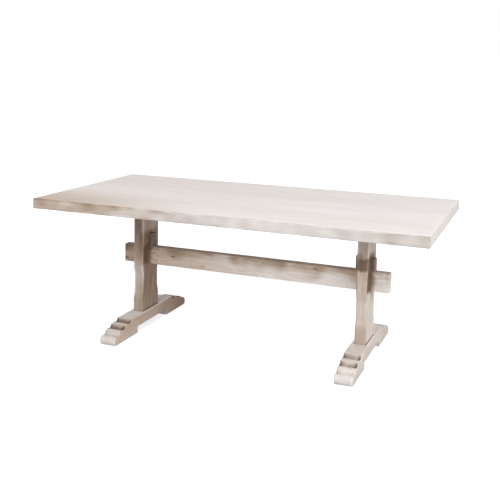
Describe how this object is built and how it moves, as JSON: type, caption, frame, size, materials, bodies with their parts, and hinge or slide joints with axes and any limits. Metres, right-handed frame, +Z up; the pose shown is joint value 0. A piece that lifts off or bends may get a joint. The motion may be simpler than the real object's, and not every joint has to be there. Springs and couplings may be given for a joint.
{
  "type": "dining table",
  "caption": "Rectangular trestle dining table in whitewashed solid wood, with a keyed through stretcher and runner feet with carved stepped ends",
  "frame": {"origin": "On the floor, under the middle of the tabletop", "axes": "+X along the length of the top, +Y across it to the back, +Z up"},
  "size_m": [2.032, 1.016, 0.762],
  "materials": {
    "whitewashed_wood": "whitewashed, worn matte",
    "bare_wood": "planed, unfinished",
    "dark_wood": "brown stained, matte",
    "zinc_plated_steel": "zinc plated, satin"
  },
  "bodies": {
    "root": {"top_board_1": "whitewashed_wood", "top_board_2": "whitewashed_wood", "top_board_3": "whitewashed_wood", "top_board_4": "whitewashed_wood", "top_board_5": "whitewashed_wood", "top_board_6": "whitewashed_wood", "top_board_7": "whitewashed_wood", "board_splines": "bare_wood", "left_bearer": "whitewashed_wood", "right_bearer": "whitewashed_wood", "left_post": "whitewashed_wood", "right_post": "whitewashed_wood", "left_foot": "whitewashed_wood", "right_foot": "whitewashed_wood", "stretcher": "whitewashed_wood", "left_key": "dark_wood", "right_key": "dark_wood", "top_screws": "zinc_plated_steel", "tenon_screws": "zinc_plated_steel", "washers": "zinc_plated_steel"}
  },
  "joints": []
}
